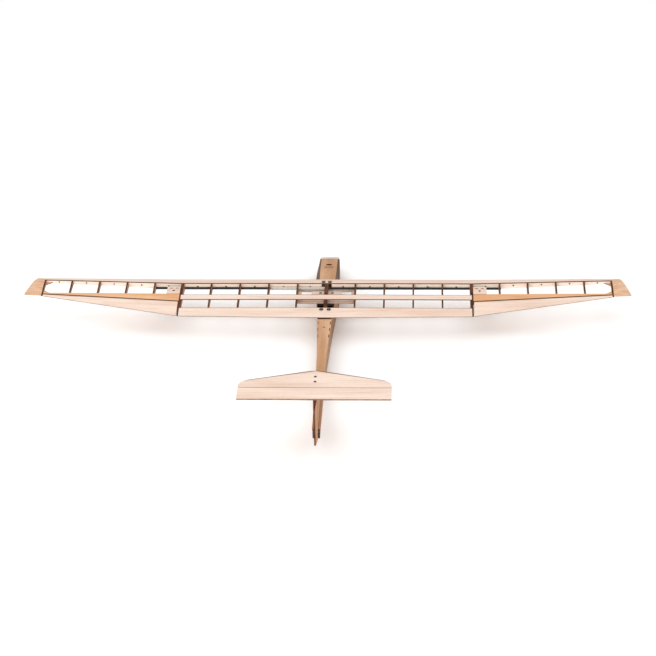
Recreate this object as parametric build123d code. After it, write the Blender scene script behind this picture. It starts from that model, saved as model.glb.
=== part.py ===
from build123d import *
import os
from math import atan2, cos, degrees, radians, sin, sqrt, tan

# Radio controlled glider, uncovered airframe.  Millimetres, +X starboard, +Y nose, +Z up.

# wing planform, measured from the centreline and back from the root leading edge
span = 1550.0
inner_length = 372.0
inner_bays = 5
outer_length = 359.0
outer_bays = 5
root_chord = 176.0
break_chord = 170.0
tip_rib_chord = 84.0
tip_sweep = 19.0
dihedral = 3.0
aerofoil_ratio = 0.088
nose_height_ratio = 0.03
trailing_edge_thickness = 1.4

# wing structure
rib_thickness = 4.0
root_rib_thickness = 4.5
leading_edge_width = 8.0
sheet = 1.5
web_setback = 35.0
web_thickness = 1.5
web_hole = 4.5
strip_start = 87.0
strip_width = 20.0
trailing_stock_start = 139.0
false_edge_root = 84.0
false_edge_tip = 91.0
hinge_root = 113.0
hinge_tip = 95.0
aileron_end_gap = 1.5
tube_setback = 44.0
tube_height = 8.5
tube_diameter = 6.0
tube_wall = 0.8
sleeve_diameter = 8.0
sleeve_bays = 2
tip_block_root = 44.0
tip_block_front = 20.0
gusset = 16.0

# wing fixing
bolt_diameter = 4.0
bolt_head_diameter = 7.0
bolt_head_height = 2.6
washer_diameter = 10.0
washer_thickness = 0.8
front_bolt_setback = 28.0
front_bolt_offset = 8.0
rear_bolt_setback = 147.0
rear_bolt_offset = 9.5
bolt_reach = 10.0
seat_plate = 3.0

# fuselage
nose_reach = 178.0
nose_block_length = 30.0
stern_reach = 652.0
belly_depth = 62.0
wall = 2.0
bottom_sheet = 2.0
deck_sheet = 2.0
former_thickness = 3.0
shoulder = 9.0
hatch_sheet = 2.0
hatch_gap = 0.4
bow_width = 53.0
body_width = 60.0
seat_rear_width = 35.0
mid_boom_width = 24.0
stern_width = 17.0

# tail
fin_height = 118.0
fin_root_chord = 146.0
fin_top_chord = 66.0
fin_core = 5.0
fin_skin = 2.0
stab_height = 105.0
stab_span = 352.0
stab_root_chord = 117.0
stab_lead = 68.0
stab_apex = stern_reach - stab_lead
stab_sweep = 44.0
stab_thickness = 4.0
elevator_chord = 46.0
elevator_corner = 2.0
rudder_chord = 48.0
rudder_thickness = 9.0
rudder_edge_half = 1.8
rudder_top = 74.0
rudder_foot = 38.0
rudder_foot_rise = 15.0

# hinges, linkages and fits
hinge_gap = 1.2
knuckle_radius = 1.05
knuckle_length = 3.0
pin_radius = 0.5
leaf_depth = 9.0
leaf_thickness = 0.6
running_gap = 0.06
glue_gap = 0.05
taper_room = 0.02
slot_gap = 0.1
rod_diameter = 1.4
aileron_arm = 10.0
rudder_arm = 5.0
elevator_arm = 8.0
arm_thickness = 1.5
arm_level = 1.6
aileron_servo_at = 30.0
aileron_servo_setback = 61.0
servo_length = 23.0
servo_width = 12.0
servo_height = 22.5
fin_servo_length = 20.0
fin_servo_width = 8.2
fin_servo_height = 20.0
battery_length = 70.0
battery_width = 34.0
battery_height = 16.5
aileron_travel = 20.0
elevator_travel = 20.0
rudder_travel = 25.0

# places that follow from the sizes above
rudder_edge = stern_reach + rudder_chord
y_root = (rudder_edge - nose_reach) / 2
z_wing = belly_depth
tip_rib_at = inner_length + outer_length
inner_pitch = inner_length / inner_bays
outer_pitch = outer_length / outer_bays
z_stab = z_wing + stab_height
y_stern = y_root - stern_reach
z_tube = z_wing + tube_height
y_tube = y_root - tube_setback


def mix(low, high, share):
    return low + (high - low) * share


def outer_share(x):
    return max(0.0, (x - inner_length) / outer_length)


def leading(x):
    return y_root - tip_sweep * outer_share(x)


def chord(x):
    if x <= inner_length:
        return mix(root_chord, break_chord, x / inner_length)
    return mix(break_chord, tip_rib_chord, outer_share(x))


def rise(x):
    return z_wing + max(0.0, x - inner_length) * tan(radians(dihedral))


def thickness_form(share):
    share = min(1.0, max(0.0, share))
    front = 2.969 * sqrt(share) - 1.26 * share
    return front - 3.516 * share**2 + 2.843 * share**3 - 1.036 * share**4


def top_skin(x, y):
    share = min(1.0, max(0.0, (leading(x) - y) / chord(x)))
    crown = aerofoil_ratio * thickness_form(share)
    nose = nose_height_ratio * (1.0 - share) ** 2
    return rise(x) + chord(x) * (crown + nose) + trailing_edge_thickness * share


def low_skin(x, y):
    share = min(1.0, max(0.0, (leading(x) - y) / chord(x)))
    entry = max(0.0, 1.0 - share / 0.1) ** 2
    return rise(x) + chord(x) * nose_height_ratio * entry


def steps(start, end, count):
    return [mix(start, end, i / count) for i in range(count + 1)]


def section(x, points):
    return Face(Wire.make_polygon([Vector(x, y, z) for y, z in points], close=True))


def spanwise(stations, outline):
    return loft([section(x, outline(x)) for x in stations], ruled=True)


def inner_stations(start, end):
    marks = [inner_pitch * i for i in range(inner_bays + 1)]
    return [start] + [x for x in marks if start + 0.5 < x < end - 0.5] + [end]


def outer_stations(start, end):
    marks = [inner_length + outer_pitch * i for i in range(outer_bays + 1)]
    return [start] + [x for x in marks if start + 0.5 < x < end - 0.5] + [end]


def block(x0, x1, y0, y1, z0, z1):
    low = Vector(min(x0, x1), min(y0, y1), min(z0, z1))
    size = (abs(x1 - x0), abs(y1 - y0), abs(z1 - z0))
    return Pos(low) * Box(*size, align=(Align.MIN, Align.MIN, Align.MIN))


def rod(start, end, radius):
    start = Vector(*start)
    reach = Vector(*end) - start
    return Plane(start, z_dir=reach) * extrude(Circle(radius), reach.length)


def pipe(start, end, outer, inner):
    return rod(start, end, outer) - rod(start, end, inner)


def port(shape):
    return mirror(shape, about=Plane.YZ)


def solids_of(*shapes):
    found = []
    for shape in shapes:
        found += list(shape.solids())
    return found


def save(node, *shapes):
    solids = solids_of(*shapes)
    whole = solids[0] if len(solids) == 1 else Compound(children=solids)
    whole.label = node
    export_step(whole, "parts/" + node + ".step")


# ---------------------------------------------------------------- wing

def strip_outline(front, back, top_thickness):
    """Closed outline of a sheet that follows the upper skin between two lines."""
    def outline(x):
        ys = steps(front(x), back(x), 8)
        upper = [(y, top_skin(x, y)) for y in ys]
        lower = [(y, top_skin(x, y) - top_thickness) for y in reversed(ys)]
        return upper + lower
    return outline


def low_strip_outline(front, back, thickness):
    """Closed outline of a sheet that follows the lower skin between two lines."""
    def outline(x):
        ys = steps(front(x), back(x), 4)
        upper = [(y, low_skin(x, y) + thickness) for y in ys]
        lower = [(y, low_skin(x, y)) for y in reversed(ys)]
        return upper + lower
    return outline


def solid_outline(front, back, count=8):
    """Closed outline of stock that fills the aerofoil between two lines."""
    def outline(x):
        ys = steps(front(x), back(x), count)
        upper = [(y, top_skin(x, y)) for y in ys]
        lower = [(y, low_skin(x, y)) for y in reversed(ys)]
        if abs(upper[0][1] - lower[-1][1]) < 0.01:
            lower = lower[:-1]
        return upper + lower
    return outline


def nose_back(x):
    return leading(x) - leading_edge_width


def web_line(x):
    return y_root - web_setback


def web_back(x):
    return web_line(x) - web_thickness


def strip_front(x):
    return y_root - strip_start


def strip_back(x):
    return y_root - strip_start - strip_width


def stock_front(x):
    return y_root - trailing_stock_start


def trailing(x):
    return leading(x) - chord(x)


def false_front(x):
    return y_root - mix(false_edge_root, false_edge_tip, outer_share(x))


def hinge_line(x):
    return y_root - mix(hinge_root, hinge_tip, outer_share(x))


def false_back(x):
    return hinge_line(x) + hinge_gap


def aileron_front(x):
    return hinge_line(x) - hinge_gap


aileron_start = inner_length + rib_thickness + glue_gap + aileron_end_gap
aileron_stop = tip_rib_at - rib_thickness - glue_gap - aileron_end_gap


def hinge_height(x):
    root_y = hinge_line(aileron_start)
    tip_y = hinge_line(aileron_stop)
    root_z = (top_skin(aileron_start, root_y) + low_skin(aileron_start, root_y)) / 2
    tip_z = (top_skin(aileron_stop, tip_y) + low_skin(aileron_stop, tip_y)) / 2
    return mix(root_z, tip_z, (x - aileron_start) / (aileron_stop - aileron_start))


def aileron_axis_point(x):
    return Vector(x, hinge_line(x), hinge_height(x))


aileron_axis = (aileron_axis_point(aileron_stop) - aileron_axis_point(aileron_start)).normalized()


def rib_outline(back, strip_ends):
    """Rib between the leading edge stock and a rear line, stepped down under its sheets."""
    covers = [(nose_back, web_line)] + strip_ends

    def outline(x):
        front = min(nose_back(x - rib_thickness / 2), nose_back(x + rib_thickness / 2)) - glue_gap
        rear = back(x) + glue_gap
        under = sheet + 2 * glue_gap + taper_room * rib_thickness
        marks = {front, rear}
        for start, end in covers:
            marks |= {start(x) + glue_gap, end(x) - glue_gap}
        marks |= set(steps(front, rear, 14))
        marks = sorted((y for y in marks if rear <= y <= front), reverse=True)
        upper = []
        for y0, y1 in zip(marks, marks[1:]):
            middle = (y0 + y1) / 2
            covered = any(e(x) - glue_gap <= middle <= s(x) + glue_gap for s, e in covers)
            drop = under if covered else 0.0
            upper += [(y0, top_skin(x, y0) - drop), (y1, top_skin(x, y1) - drop)]
        points = []
        for y, z in upper:
            if not points or abs(points[-1][0] - y) + abs(points[-1][1] - z) > 1e-4:
                points.append((y, z))
        edge = web_line(x) - glue_gap
        low = [(y, low_skin(x, y)) for y in sorted(steps(front, rear, 6)) if y < edge]
        low += [(edge, low_skin(x, edge)), (edge, low_skin(x, edge) + under)]
        low += [(y, low_skin(x, y) + under) for y in sorted(steps(front, rear, 6)) if y > edge]
        return points + low
    return outline


def rib(x0, x1, outline):
    middle = (x0 + x1) / 2
    flat = section(x0, outline(middle))
    slope = tan(radians(dihedral)) if middle > inner_length else 0.0
    return extrude(flat, amount=x1 - x0, dir=(1, 0, slope))


def tube_hole(side):
    """Clearance for the spar tube, and for the joiner sleeve in the port root bays."""
    reach = inner_length + outer_pitch + rib_thickness
    hole = rod((-1, y_tube, z_tube), (reach, y_tube, z_tube), tube_diameter / 2 + slot_gap)
    if side < 0:
        end = sleeve_bays * inner_pitch - rib_thickness
        hole += rod((-1, y_tube, z_tube), (end, y_tube, z_tube), sleeve_diameter / 2 + slot_gap)
    return hole


inner_strips = [(strip_front, strip_back)]
outer_strips = []


def inner_ribs(side):
    shape = rib_outline(stock_front, inner_strips)
    found = []
    for i in range(1, inner_bays):
        middle = inner_pitch * i
        found.append(rib(middle - rib_thickness / 2, middle + rib_thickness / 2, shape))
    found.append(rib(inner_length - rib_thickness, inner_length - glue_gap, shape))
    hole = tube_hole(side)
    return [one - hole for one in found]


def root_rib():
    shape = rib_outline(stock_front, inner_strips)
    one = rib(glue_gap, root_rib_thickness, shape)
    return one - rod((-1, y_tube, z_tube), (9, y_tube, z_tube), sleeve_diameter / 2 + slot_gap)


def outer_ribs():
    shape = rib_outline(false_front, outer_strips)
    full = rib_outline(trailing, outer_strips)
    found = [rib(inner_length + glue_gap, inner_length + rib_thickness, full)]
    for i in range(1, outer_bays):
        middle = inner_length + outer_pitch * i
        found.append(rib(middle - rib_thickness / 2, middle + rib_thickness / 2, shape))
    found.append(rib(tip_rib_at - rib_thickness, tip_rib_at - glue_gap, full))
    return [one - tube_hole(1) for one in found]


inner_end = inner_length - glue_gap
outer_start = inner_length + glue_gap
outer_end = tip_rib_at - glue_gap


def leading_edges():
    shape = solid_outline(leading, nose_back, 12)
    inner = spanwise(inner_stations(glue_gap, inner_end), shape)
    outer = spanwise(outer_stations(outer_start, outer_end), shape)
    return [inner, outer]


def sheet_front(x):
    return nose_back(x) - glue_gap


def front_sheeting():
    """Upper and lower sheets that close the leading edge box in front of the web."""
    found = []
    for shape in (strip_outline(sheet_front, web_line, sheet), low_strip_outline(sheet_front, web_line, sheet)):
        found.append(spanwise(inner_stations(glue_gap, inner_end), shape) - bolt_holes(front_bolts))
        found.append(spanwise(outer_stations(outer_start, outer_end), shape))
    return found


def web(x0, x1):
    """Upright web between two ribs, with a round hole for the servo lead at mid bay."""
    def outline(x):
        top = top_skin(x, web_back(x)) - sheet - glue_gap
        low = low_skin(x, web_line(x))
        back = web_back(x) + glue_gap
        return [(web_line(x), top), (back, top), (back, low), (web_line(x), low)]
    plate = spanwise([x0, x1], outline)
    middle = (x0 + x1) / 2
    height = (top_skin(middle, web_line(middle)) + low_skin(middle, web_line(middle))) / 2
    start = (middle, web_line(middle) + 1, height)
    end = (middle, web_back(middle) - 1, height)
    return plate - rod(start, end, web_hole / 2)


def spar_webs():
    half = rib_thickness / 2 + glue_gap
    found = []
    for i in range(inner_bays):
        start = inner_pitch * i + half
        end = inner_pitch * (i + 1) - half
        if i == 0:
            start = front_bolt_offset + washer_diameter / 2 + glue_gap
        if i == inner_bays - 1:
            end = inner_length - rib_thickness - glue_gap
        found.append(web(start, end))
    for i in range(outer_bays):
        start = inner_length + outer_pitch * i + half
        end = inner_length + outer_pitch * (i + 1) - half
        if i == 0:
            start = inner_length + rib_thickness + glue_gap
        if i == outer_bays - 1:
            end = tip_rib_at - rib_thickness - glue_gap
        found.append(web(start, end))
    return found


def mid_strip():
    return spanwise(inner_stations(glue_gap, inner_end), strip_outline(strip_front, strip_back, sheet))


def trailing_edge():
    stock = spanwise(inner_stations(glue_gap, inner_end), solid_outline(stock_front, trailing))
    return stock - bolt_holes(rear_bolts)


def false_edge():
    start = inner_length + rib_thickness + glue_gap
    end = tip_rib_at - rib_thickness - glue_gap
    return spanwise(outer_stations(start, end), solid_outline(false_front, false_back))


def tip_block():
    """Raked tip block: the tip rib's outline carried out to a short thin edge."""
    def outline(x):
        ys = steps(leading(tip_rib_at), trailing(tip_rib_at), 12)
        upper = [(y, top_skin(tip_rib_at, y)) for y in ys]
        lower = [(y, low_skin(tip_rib_at, y)) for y in reversed(ys)]
        return upper + lower[1:]
    slope = tan(radians(dihedral))
    start = tip_rib_at + glue_gap
    lifted = [(y, z + glue_gap * slope) for y, z in outline(start)]
    blank = extrude(section(start, lifted), amount=tip_block_root - glue_gap, dir=(1, 0, slope))
    front = leading(tip_rib_at)
    back = trailing(tip_rib_at)
    length = tip_rib_chord
    corners = [
        (start - 1, front + 1),
        (tip_rib_at + tip_block_front * 0.55, front + 1),
        (tip_rib_at + tip_block_front, front - length * 0.10),
        (tip_rib_at + tip_block_front * 1.3, front - length * 0.24),
        (tip_rib_at + tip_block_root, back + 3),
        (tip_rib_at + tip_block_root - 3, back - 1),
        (start - 1, back - 1),
    ]
    plan = Face(Wire.make_polygon([Vector(x, y, 0) for x, y in corners], close=True))
    cutter = extrude(plan, amount=z_stab * 2, dir=(0, 0, 1))
    return blank & cutter


def tip_gussets():
    """Triangles that brace the tip rib at its front and rear corners."""
    edge = tip_rib_at - rib_thickness - glue_gap
    found = []
    rear = false_front(edge - gusset) + glue_gap
    front = web_back(edge) - glue_gap
    for y, turn in ((rear, 1), (front, -1)):
        plan = [(edge, y), (edge - gusset, y), (edge, y + turn * gusset * 0.8)]
        low = rise(edge) + 1.0
        face = Face(Wire.make_polygon([Vector(px, py, low) for px, py in plan], close=True))
        found.append(extrude(face, amount=2.0, dir=(0, 0, 1)))
    return found


front_bolts = [(front_bolt_offset, y_root - front_bolt_setback)]
rear_bolts = [(rear_bolt_offset, y_root - rear_bolt_setback)]


def bolt_holes(places):
    holes = [rod((x, y, z_wing - 40), (x, y, z_wing + 60), bolt_diameter / 2 + slot_gap) for x, y in places]
    return holes[0] if len(holes) == 1 else holes[0] + holes[1:]


def bolt_top(x, y):
    return max(top_skin(0, y + washer_diameter / 2), top_skin(0, y - washer_diameter / 2)) + 0.1


def bolt_pads():
    """Hardwood pads that fill the wing under each bolt, from the underside to the washer."""
    (x, y), = front_bolts
    low = low_skin(0, y) + sheet + 2 * glue_gap
    outer = x + washer_diameter / 2
    top = min(top_skin(outer, y + 5), top_skin(outer, y - 5)) - sheet - 0.3
    pad = block(root_rib_thickness + glue_gap, outer, y - 5.5, y + 5.5, low, top)
    return [pad - bolt_holes([(x, y)])]


def wing_bolts():
    found = []
    for x, y in front_bolts + rear_bolts:
        seat = bolt_top(x, y)
        shank = rod((x, y, z_wing - bolt_reach), (x, y, seat + 0.1), bolt_diameter / 2)
        washer = rod((x, y, seat), (x, y, seat + washer_thickness), washer_diameter / 2)
        z0 = seat + washer_thickness
        head = rod((x, y, z0 - 0.1), (x, y, z0 + bolt_head_height), bolt_head_diameter / 2)
        key = Pos(x, y, z0 + 0.9) * extrude(RegularPolygon(1.7, 6), 9)
        found.append(shank + washer + head - key)
    return found


def wing_bolt_nuts():
    """Blind nuts under the fuselage seat plates."""
    found = []
    for x, y in front_bolts + rear_bolts:
        top = z_wing - seat_plate - glue_gap * 2
        flange = rod((x, y, top - 1.0), (x, y, top), 4.6)
        barrel = rod((x, y, top - 4.5), (x, y, top - 0.9), 2.9)
        found.append(flange + barrel - rod((x, y, top - 6), (x, y, top + 1), bolt_diameter / 2 + 0.02))
    return found


def root_plates():
    """Bottom plates of the root bays, each with a rectangular and a small square cut-out."""
    x0 = root_rib_thickness + glue_gap
    x1 = inner_pitch - rib_thickness / 2 - glue_gap
    y0 = web_back(0) - glue_gap
    plate = block(x0, x1, y0, strip_back(0), z_wing, z_wing + sheet)
    window = block(38, 64, y0 - 12, y0 - 45, z_wing - 1, z_wing + 9)
    small = block(12, 18.5, y0 - 16, y0 - 22, z_wing - 1, z_wing + 9)
    return plate - window - small


def spar_tubes():
    joint = sleeve_bays * inner_pitch - rib_thickness
    reach = inner_length + outer_pitch + rib_thickness
    inner = tube_diameter / 2 - tube_wall
    starboard = pipe((-joint, y_tube, z_tube), (reach, y_tube, z_tube), tube_diameter / 2, inner)
    left = pipe((-reach, y_tube, z_tube), (-joint - 0.4, y_tube, z_tube), tube_diameter / 2, inner)
    return left, starboard


def joiner_sleeve():
    joint = sleeve_bays * inner_pitch - rib_thickness
    inner = tube_diameter / 2 + glue_gap
    return pipe((-joint, y_tube, z_tube), (-glue_gap, y_tube, z_tube), sleeve_diameter / 2, inner)


# ---------------------------------------------------------------- hinges and linkages

def hinge_plane(origin, axis, rear):
    return Plane(origin, x_dir=rear, z_dir=axis)


def fixed_leaf(plane):
    half = knuckle_length / 2
    near = knuckle_radius + slot_gap
    leaf = block(-leaf_depth, -near, -leaf_thickness / 2, leaf_thickness / 2, -2.8 * half, 2.8 * half)
    neck = block(-near, 0, -leaf_thickness / 2, leaf_thickness / 2, -half, half)
    knuckle = extrude(Pos(0, 0, -half) * Circle(knuckle_radius), knuckle_length)
    pin = extrude(Pos(0, 0, -2.9 * half) * Circle(pin_radius), 5.8 * half)
    return plane * (leaf + neck + knuckle + pin)


def moving_leaf(plane):
    half = knuckle_length / 2
    near = knuckle_radius + slot_gap
    low = half + slot_gap
    high = 2.8 * half
    leaf = block(near, leaf_depth, -leaf_thickness / 2, leaf_thickness / 2, -high, high)
    for z0, z1 in ((-high, -low), (low, high)):
        leaf += block(0, near, -leaf_thickness / 2, leaf_thickness / 2, z0, z1)
        leaf += Pos(0, 0, z0) * extrude(Circle(knuckle_radius), z1 - z0)
    bore = Pos(0, 0, -high - 1) * extrude(Circle(pin_radius + running_gap), 2 * high + 2)
    return plane * (leaf - bore)


def leaf_slot(plane, side):
    half = 2.8 * knuckle_length / 2 + slot_gap
    thick = leaf_thickness / 2 + slot_gap
    return plane * block(0, side * (leaf_depth + slot_gap), -thick, thick, -half, half)


def hinge_places(start, end, count, inset):
    length = (end - start).length
    way = (end - start).normalized()
    spots = steps(inset, length - inset, count - 1)
    return [start + way * spot for spot in spots]


def horn(plane, drop, foot_near, foot_far, foot_drop, hole_gap):
    """Control horn: a thin plate with a foot under the surface and a hole below the hinge."""
    outline = [
        (foot_near, foot_drop),
        (foot_far, foot_drop),
        (foot_far, foot_drop + 1.0),
        (2.2, drop + 1.0),
        (1.0, drop + 2.1),
        (-1.0, drop + 2.1),
        (-2.0, drop + 0.8),
        (-1.8, drop - 1.2),
        (foot_near, foot_drop + 1.2),
    ]
    face = Face(Wire.make_polygon([Vector(x, y, 0) for x, y in outline], close=True))
    plate = Pos(0, 0, arm_level) * extrude(face, amount=arm_thickness, dir=(0, 0, 1))
    hole = Pos(0, drop, -2) * extrude(Circle(rod_diameter / 2 + hole_gap), 12)
    return plane * (plate - hole)


def servo(plane, length, width, height):
    """Servo in the frame of its output shaft: shaft along +z, case towards -z and +x."""
    half = width / 2
    rear = length - half
    case = block(-half, rear, -half, half, -height, -4)
    lugs = block(-half - 4.2, rear + 4.2, -half, half, -10.5, -8.3)
    for x in (-half - 2.3, rear + 2.3):
        lugs -= Pos(x, 0, -12) * extrude(Circle(1.0), 5)
    turret = Pos(0, 0, -4.5) * extrude(Circle(half - 0.2), 4.2)
    spline = Pos(0, 0, -0.5) * extrude(Circle(1.9), 2.8)
    return plane * (case + lugs + turret + spline)


def servo_arm(plane, reach, turn, hole_gap):
    """Arm on the servo's spline: hub, tapering arm and the hole for the rod."""
    hub = Pos(0, 0, 0.2) * extrude(Circle(3.0), arm_level + arm_thickness - 0.2)
    tip = max(reach, 9.0) + 1.6
    outline = [(0, -2.6), (tip, -1.9), (tip + 0.8, 0), (tip, 1.9), (0, 2.6)]
    face = Face(Wire.make_polygon([Vector(x, y, 0) for x, y in outline], close=True))
    arm = Pos(0, 0, arm_level) * extrude(face, amount=arm_thickness, dir=(0, 0, 1))
    shape = hub + arm
    shape -= Pos(0, 0, -1) * extrude(Circle(1.9 + running_gap), 1 + 2.3 + running_gap)
    shape -= Pos(reach, 0, -1) * extrude(Circle(rod_diameter / 2 + hole_gap), 9)
    return plane * (Rot(0, 0, turn) * shape)


def pushrod(start, end, start_turn, end_turn):
    """Wire between two points, with each end turned square through its hole."""
    radius = rod_diameter / 2
    reach = arm_thickness + radius + 0.3 + 0.5
    wire = rod(start, end, radius)
    for point, turn in ((start, start_turn), (end, end_turn)):
        wire += rod(point, point + turn * reach, radius)
        wire += Pos(*point) * Sphere(radius)
    return wire


def wedge_plan(half_front, half_back, front, back):
    points = [(-half_front, front), (half_front, front), (half_back, back), (-half_back, back)]
    return Face(Wire.make_polygon([Vector(x, y, 0) for x, y in points], close=True))


def rod_level():
    return arm_level + arm_thickness + 0.3 + rod_diameter / 2


# ---------------------------------------------------------------- ailerons

def aileron_plane(point):
    rear = Vector(0, -1, 0)
    rear = (rear - aileron_axis * rear.dot(aileron_axis)).normalized()
    return Plane(point, x_dir=rear, z_dir=aileron_axis)


def aileron_hinge_planes():
    places = hinge_places(aileron_axis_point(aileron_start), aileron_axis_point(aileron_stop), 3, 45.0)
    return [aileron_plane(point) for point in places]


def aileron_linkage():
    """Planes through the hinge line and the servo shaft, level with each other along the hinge."""
    on_hinge = aileron_plane(aileron_axis_point(inner_length + aileron_servo_at))
    forward = on_hinge.x_dir * (aileron_servo_setback - hinge_root)
    guess = on_hinge.origin + forward
    height = rise(guess.X) + servo_width / 2 + 0.6
    centre = guess + on_hinge.y_dir * ((height - guess.Z) / on_hinge.y_dir.Z)
    return on_hinge, Plane(centre, x_dir=on_hinge.x_dir, z_dir=aileron_axis)


def aileron():
    shape = spanwise([aileron_start, aileron_stop], solid_outline(aileron_front, trailing))
    for plane in aileron_hinge_planes():
        shape -= leaf_slot(plane, 1)
    return shape


def false_edge_cut():
    shape = false_edge()
    for plane in aileron_hinge_planes():
        shape -= leaf_slot(plane, -1)
    return shape


def aileron_hardware():
    on_hinge, shaft = aileron_linkage()
    where = on_hinge.origin.X
    thick = top_skin(where, aileron_front(where)) - low_skin(where, aileron_front(where))
    plate = horn(on_hinge, aileron_arm, 2.2, 13.0, thick / 2 + 0.25, running_gap)
    return [moving_leaf(plane) for plane in aileron_hinge_planes()] + [plate]


def aileron_pushrod():
    on_hinge, shaft = aileron_linkage()
    start = shaft.origin + shaft.y_dir * aileron_arm + shaft.z_dir * rod_level()
    end = on_hinge.origin + shaft.y_dir * aileron_arm + shaft.z_dir * rod_level()
    return pushrod(start, end, shaft.z_dir * -1, shaft.z_dir * -1)


def aileron_tray():
    """Plate above the servo, between the first two outer ribs, with two slots and a cable hole."""
    x0 = inner_length + rib_thickness + glue_gap * 2
    x1 = x0 + 34.0
    y0 = y_tube - tube_diameter / 2 - 1.5
    y1 = false_front(x0) + 0.4
    low = rise(x0) + servo_width + 2.6
    plate = block(x0, x1, y0, y1, low, low + 1.2)
    for x, y in ((x0 + 9, y0 - 8), (x0 + 24, y0 - 8)):
        plate -= block(x - 4, x + 4, y - 1.5, y + 1.5, low - 1, low + 5)
    return plate - rod((x0 + 16.5, y0 - 20, low - 1), (x0 + 16.5, y0 - 20, low + 5), 3.0)


# ---------------------------------------------------------------- fuselage

def at(back):
    return y_root - back


def profile(points):
    """Function that reads a height or half-width off a chain of (distance, value) points."""
    def read(back):
        if back <= points[0][0]:
            return points[0][1]
        for (b0, v0), (b1, v1) in zip(points, points[1:]):
            if back <= b1:
                return mix(v0, v1, (back - b0) / (b1 - b0))
        return points[-1][1]
    return read


bow = -(nose_reach - nose_block_length)
half_width = profile([
    (-nose_reach, bow_width / 2 - 3.0),
    (bow, bow_width / 2),
    (-60.0, body_width / 2),
    (0.0, body_width / 2),
    (root_chord, seat_rear_width / 2),
    (mix(root_chord, stern_reach, 0.3), mid_boom_width / 2),
    (mix(root_chord, stern_reach, 0.55), stern_width / 2 + 0.6),
    (stern_reach, stern_width / 2),
])
belly = profile([
    (-nose_reach, -44.0),
    (bow, -51.0),
    (-110.0, -57.5),
    (-60.0, -61.0),
    (-20.0, -belly_depth),
    (205.0, -belly_depth),
    (260.0, -58.5),
    (350.0, -52.5),
    (480.0, -45.5),
    (stern_reach, -40.0),
])
deck = profile([(root_chord, -3.0), (stern_reach, -15.0)])
hatch_top = profile([(-nose_reach, -21.0), (bow, -13.0), (0.0, 7.0)])
deck_start = root_chord + 0.6
hatch_end = 1.0
fuselage_ends = (bow + glue_gap, stern_reach - 6.0)
deck_overhang = 1.0
tab_places = (12.0, 42.0, 72.0)
tab_length = 12.0
hatch_half_front = 23.5
hatch_half_rear = 20.0
batten_height = 4.6


def marks_between(start, end, extra=()):
    wanted = (-110, -60, -20, 0, 205, 260, 350, 480, *extra)
    inside = [m for m in wanted if start + 1 < m < end - 1]
    inside += [m for m in (root_chord, mix(root_chord, stern_reach, 0.3)) if start + 1 < m < end - 1]
    inside += [m for m in (mix(root_chord, stern_reach, 0.55),) if start + 1 < m < end - 1]
    return [start] + sorted(set(inside)) + [end]


def side_slab(points, reach=60.0):
    face = Face(Wire.make_polygon([Vector(-reach, at(b), z_wing + h) for b, h in points], close=True))
    return extrude(face, amount=2 * reach, dir=(1, 0, 0))


def plan_slab(points):
    face = Face(Wire.make_polygon([Vector(x, at(b), -20) for x, b in points], close=True))
    return extrude(face, amount=z_wing + 80, dir=(0, 0, 1))


def plan_of(start, end, inset=0.0):
    marks = marks_between(start, end)
    right = [(half_width(b) - inset, b) for b in marks]
    left = [(-x, b) for x, b in reversed(right)]
    return plan_slab(right + left)


def side_top(back):
    if back < -hatch_end:
        return hatch_top(back) - shoulder
    if back <= root_chord + 0.3:
        return -glue_gap
    return deck(back) - deck_sheet - glue_gap


def fuselage_side():
    start, end = fuselage_ends
    marks = marks_between(start, end, (-hatch_end - 0.01, -hatch_end + 0.01, root_chord + 0.29, root_chord + 0.31))
    low = [(b, belly(b) + bottom_sheet + glue_gap) for b in marks]
    high = [(b, side_top(b)) for b in reversed(marks)]
    body = side_slab(low + high)
    for place in tab_places:
        b0 = root_chord + place
        b1 = b0 + tab_length
        tab = [(b0, side_top(b0) - 1), (b0, deck(b0)), (b1, deck(b1)), (b1, side_top(b1) - 1)]
        body += side_slab(tab)
    outer = [(half_width(b), b) for b in marks]
    inner = [(half_width(b) - wall, b) for b in reversed(marks)]
    return body & plan_slab(outer + inner)


def fuselage_bottom():
    start, end = fuselage_ends
    marks = marks_between(start, end)
    band = [(b, belly(b)) for b in marks] + [(b, belly(b) + bottom_sheet) for b in reversed(marks)]
    return side_slab(band) & plan_of(start, end)


def fuselage_deck():
    end = fuselage_ends[1]
    band = [(deck_start, deck(deck_start)), (end, deck(end))]
    band += [(end, deck(end) - deck_sheet), (deck_start, deck(deck_start) - deck_sheet)]
    plate = side_slab(band) & plan_of(deck_start, end, -deck_overhang)
    for place in tab_places:
        b0 = root_chord + place - slot_gap
        b1 = root_chord + place + tab_length + slot_gap
        outer = [(half_width(b) + slot_gap, b) for b in (b0, b1)]
        inner = [(half_width(b) - wall - slot_gap, b) for b in (b1, b0)]
        slot = plan_slab(outer + inner)
        plate -= slot
        plate -= port(slot)
    hole = root_chord + 38.0
    plate -= rod((0, at(hole), z_wing - 30), (0, at(hole), z_wing + 9), 2.25)
    half = fin_core / 2 + slot_gap
    cut = block(-half, half, at(fin_front) + slot_gap, at(end + 5), z_wing - 60, z_wing + 30)
    return plate - cut


fin_front = stern_reach - hinge_gap - fin_root_chord
fin_back = stern_reach - hinge_gap
fin_foot = stern_reach - 92.0
former_places = (bow + 2.0, -60.0, 10.0, root_chord - 18.0, 262.0, 350.0, 440.0, 520.0)


def rudder_rod_height():
    return z_wing + deck(stern_reach) - deck_sheet - 2.6


def rod_channel(back):
    height = rudder_rod_height()
    return rod((rudder_arm, at(back) + 9, height), (rudder_arm, at(back) - 9, height), rod_diameter / 2 + 1.6)


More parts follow.
